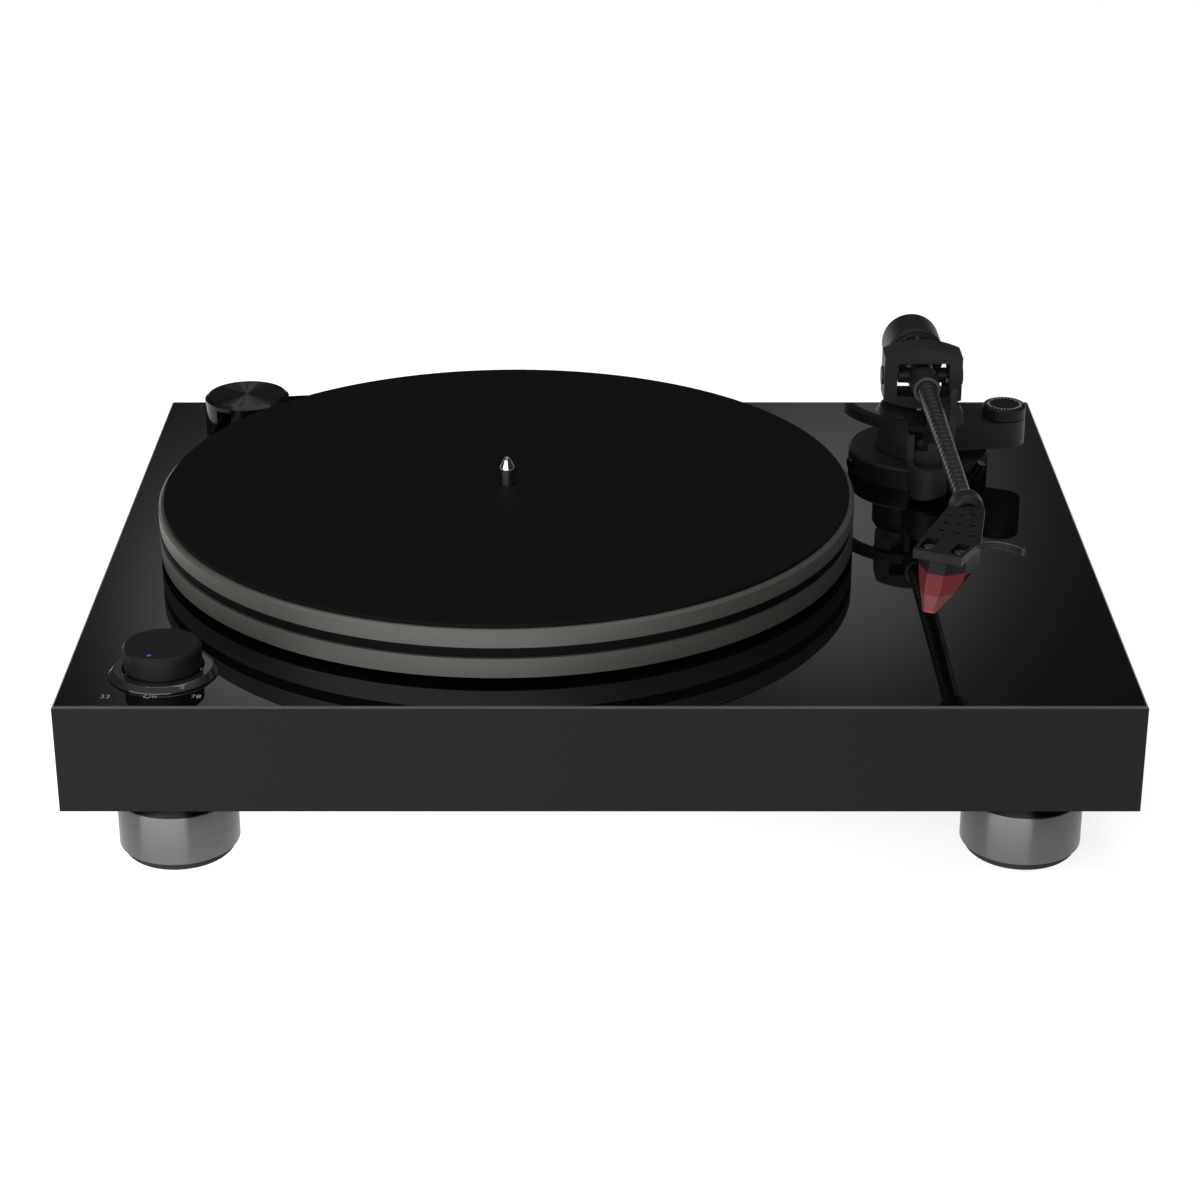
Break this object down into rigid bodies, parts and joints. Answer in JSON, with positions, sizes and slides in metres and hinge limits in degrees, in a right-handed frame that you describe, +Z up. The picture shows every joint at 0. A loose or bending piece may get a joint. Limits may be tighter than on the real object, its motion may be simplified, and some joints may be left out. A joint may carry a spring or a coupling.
{
  "type": "turntable record player",
  "caption": "Belt-driven record player: slab plinth on round feet, thick platter with mat, corner motor cap, speed knob, and a straight gimballed tonearm with counterweight and lift.",
  "frame": {"origin": "on the floor under the middle of the plinth", "axes": "+Z up, front faces -Y, the tonearm is on the +X side"},
  "size_m": [0.42, 0.339, 0.1321],
  "materials": {
    "black_lacquer": "high-gloss lacquer",
    "black_metal": "satin powder coat",
    "cover_board": "painted fibreboard",
    "steel": "satin",
    "polished_steel": "polished",
    "silver_aluminium": "brushed, clear anodised",
    "black_aluminium": "satin black anodised",
    "foot_aluminium": "brushed",
    "rubber": "matte",
    "mat_rubber": "matte",
    "bearing_brass": "turned",
    "weight_brass": "satin black plated",
    "carbon_tube": "woven carbon, clear coat",
    "black_plastic": "matte",
    "board_green": "solder mask",
    "cartridge_grey": "satin",
    "stylus_red": "translucent",
    "lead_wire": "coloured insulation"
  },
  "bodies": {
    "plinth_assembly": {"plinth": "black_lacquer", "bottom_cover": "cover_board", "case_screws": "steel", "foot_shells": "foot_aluminium", "foot_pads": "rubber", "foot_necks": "rubber", "foot_bolts": "steel", "bearing_housing": "bearing_brass", "thrust_ball": "polished_steel", "deck_screws": "steel", "motor_body": "steel", "motor_plate": "steel", "cap_gasket": "rubber", "motor_cap": "black_aluminium", "drive_belt": "rubber", "knob_ring": "silver_aluminium", "rotary_switch": "black_plastic", "circuit_board": "board_green", "board_parts": "black_plastic", "connector_plate": "black_metal", "phono_sockets": "bearing_brass", "power_inlet": "black_plastic", "arm_base": "black_aluminium", "base_set_screw": "steel", "arm_base_nut": "steel", "internal_cables": "rubber"},
    "platter_assembly": {"platter": "black_aluminium", "platter_mat": "mat_rubber", "spindle_hub": "silver_aluminium", "hub_screws": "steel", "spindle": "polished_steel"},
    "motor_rotor": {"motor_shaft": "steel", "motor_pulley": "silver_aluminium"},
    "speed_selector": {"speed_knob": "black_aluminium", "knob_shaft": "steel"},
    "ground_nut": {"ground_nut": "bearing_brass"},
    "lock_lever": {"lock_lever": "steel"},
    "arm_pillar": {"arm_pillar": "black_aluminium", "arm_bearings": "steel", "antiskate_arm": "black_aluminium", "lift_pod": "black_plastic"},
    "antiskate_dial": {"antiskate_dial": "black_aluminium"},
    "lift_bar": {"lift_bar": "black_metal"},
    "cue_lever": {"cue_lever": "black_plastic"},
    "gimbal": {"arm_spindle": "steel", "gimbal_yoke": "black_aluminium", "gimbal_bearings": "steel"},
    "tonearm": {"arm_block": "black_aluminium", "arm_tube": "carbon_tube", "headshell": "black_aluminium", "cartridge_screws": "steel", "finger_lift": "black_aluminium", "cartridge_body": "cartridge_grey", "stylus_unit": "stylus_red", "stylus_cantilever": "steel", "cartridge_leads": "lead_wire"},
    "headshell_collar": {"headshell_collar": "black_aluminium"},
    "weight_carrier": {"weight_bush": "bearing_brass"},
    "counterweight": {"counterweight": "weight_brass"},
    "force_scale_ring": {"force_scale_ring": "black_aluminium"}
  },
  "joints": [
    {"name": "platter_spin", "type": "hinge", "parent": "plinth_assembly", "child": "platter_assembly", "pos_m": [-0.0401, 0, 0.09], "axis": [0, 0, 1], "continuous": true},
    {"name": "motor_spin", "type": "hinge", "parent": "plinth_assembly", "child": "motor_rotor", "pos_m": [-0.1673, 0.1255, 0.08], "axis": [0, 0, 1], "continuous": true},
    {"name": "speed_knob_turn", "type": "hinge", "parent": "plinth_assembly", "child": "speed_selector", "pos_m": [-0.1712, -0.1378, 0.08], "axis": [0, 0, 1], "range_deg": [-19.5, 53.5]},
    {"name": "ground_nut_turn", "type": "hinge", "parent": "plinth_assembly", "child": "ground_nut", "pos_m": [0.152, 0.165, 0.0491], "axis": [0, 1, 0], "range_deg": [0, 720]},
    {"name": "lock_lever_turn", "type": "hinge", "parent": "plinth_assembly", "child": "lock_lever", "pos_m": [0.147, 0.0835, 0.0775], "axis": [0, 0, 1], "range_deg": [-10, 10]},
    {"name": "arm_height_slide", "type": "slide", "parent": "plinth_assembly", "child": "arm_pillar", "axis": [0, 0, 1], "range_m": [0, 0.006]},
    {"name": "antiskate_dial_turn", "type": "hinge", "parent": "arm_pillar", "child": "antiskate_dial", "pos_m": [0.185, 0.0795, 0.1], "axis": [0, 0, 1], "range_deg": [0, 300]},
    {"name": "cue_lever_turn", "type": "hinge", "parent": "arm_pillar", "child": "cue_lever", "pos_m": [0.158, 0.06, 0.1076], "axis": [0, 1, 0], "range_deg": [0, 90]},
    {"name": "lift_bar_slide", "type": "slide", "parent": "arm_pillar", "child": "lift_bar", "axis": [0, 0, 1], "range_m": [0, 0.005]},
    {"name": "arm_swing", "type": "hinge", "parent": "arm_pillar", "child": "gimbal", "pos_m": [0.147, 0.0835, 0.1], "axis": [0, 0, -1], "range_deg": [0, 48]},
    {"name": "arm_tilt", "type": "hinge", "parent": "gimbal", "child": "tonearm", "pos_m": [0.147, 0.0835, 0.1175], "axis": [-1, 0, 0], "range_deg": [0, 8]},
    {"name": "collar_turn", "type": "hinge", "parent": "tonearm", "child": "headshell_collar", "pos_m": [0.14796, -0.0815, 0.11946], "axis": [0.0058, -0.9999, 0.0119], "range_deg": [-90, 0]},
    {"name": "weight_slide", "type": "slide", "parent": "tonearm", "child": "weight_carrier", "axis": [-0.0058, 0.9999, -0.0119], "range_m": [-0.003, 0.006]},
    {"name": "counterweight_turn", "type": "hinge", "parent": "weight_carrier", "child": "counterweight", "pos_m": [0.14679, 0.1205, 0.11706], "axis": [-0.0058, 0.9999, -0.0119], "range_deg": [-1080, 2160]},
    {"name": "scale_ring_turn", "type": "hinge", "parent": "weight_carrier", "child": "force_scale_ring", "pos_m": [0.14686, 0.1075, 0.11721], "axis": [-0.0058, 0.9999, -0.0119], "range_deg": [-180, 180]}
  ],
  "couplings": [
    {"joint": "motor_spin", "follows": "platter_spin", "ratio": 21.114},
    {"joint": "cue_lever_turn", "follows": "lift_bar_slide", "rad_per_m": 314.15},
    {"joint": "weight_slide", "follows": "counterweight_turn", "m_per_rad": 0.000159}
  ]
}
